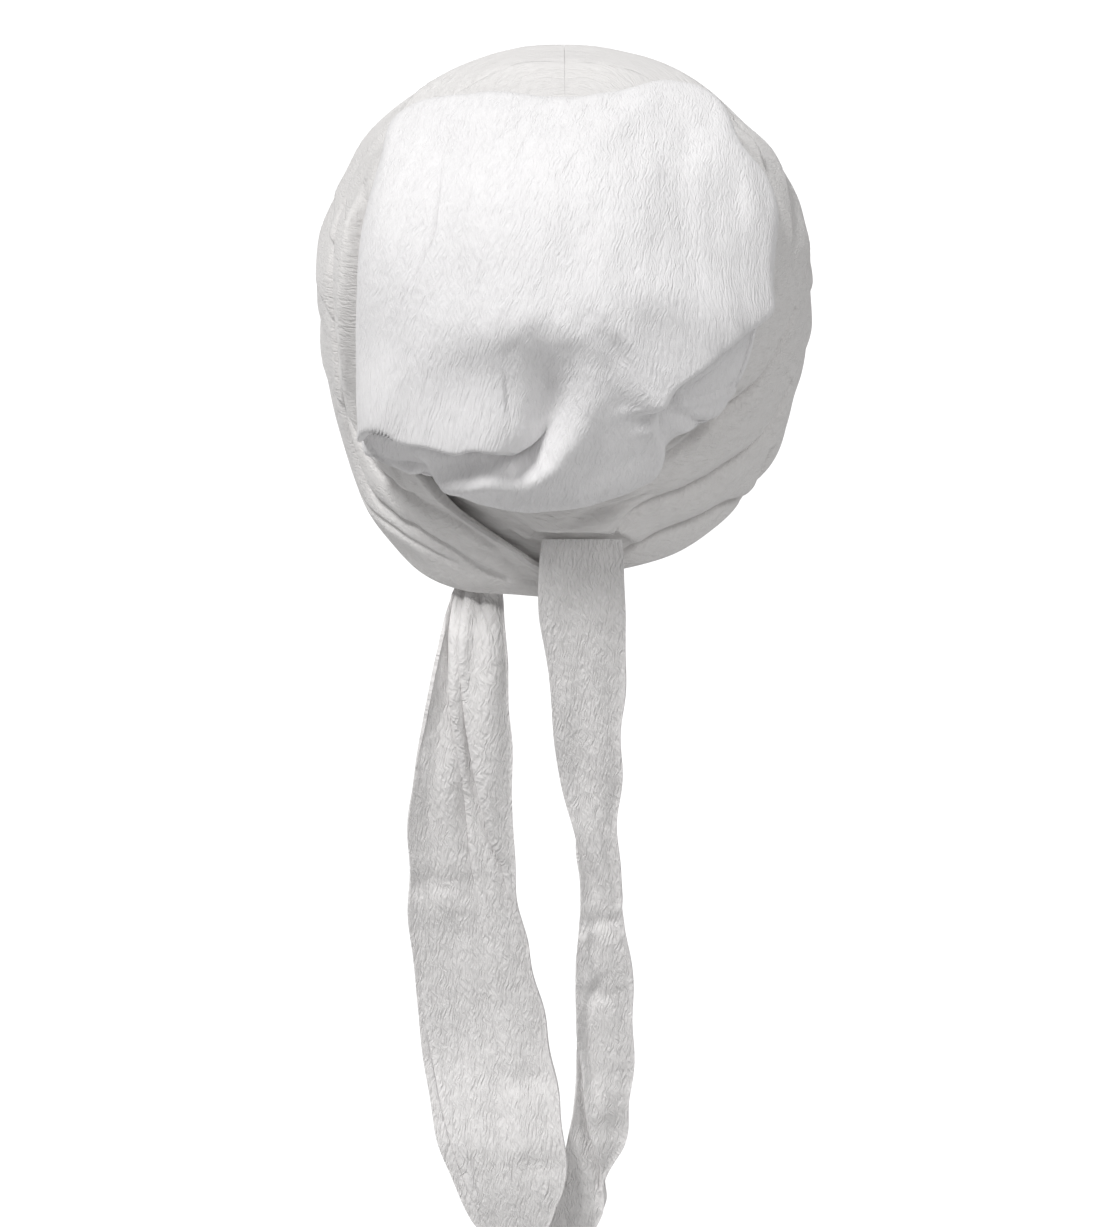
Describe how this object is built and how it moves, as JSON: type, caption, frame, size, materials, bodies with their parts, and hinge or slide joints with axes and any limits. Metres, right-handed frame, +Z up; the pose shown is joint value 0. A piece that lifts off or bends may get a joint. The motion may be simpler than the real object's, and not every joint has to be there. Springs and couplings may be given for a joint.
{
  "type": "turban hat",
  "caption": "Tie-back head wrap hat: slouched bag crown, pleated wraps round the sides tied in a half knot at the nape, and two long hanging tails, all in crinkled light cloth.",
  "frame": {"origin": "middle of the head opening, at the widest level of the hat, which is the mount head_seat", "axes": "+Z up as worn, +Y to the face side, +X to the wearer's right"},
  "size_m": [0.1874, 0.2355, 0.472],
  "materials": {
    "crown_cloth": "matte",
    "wrap_cloth": "matte",
    "tail_cloth": "matte"
  },
  "bodies": {
    "root": {"crown": "crown_cloth", "right_wrap": "wrap_cloth", "left_wrap": "wrap_cloth", "right_tail": "tail_cloth", "left_tail": "tail_cloth"}
  },
  "joints": []
}
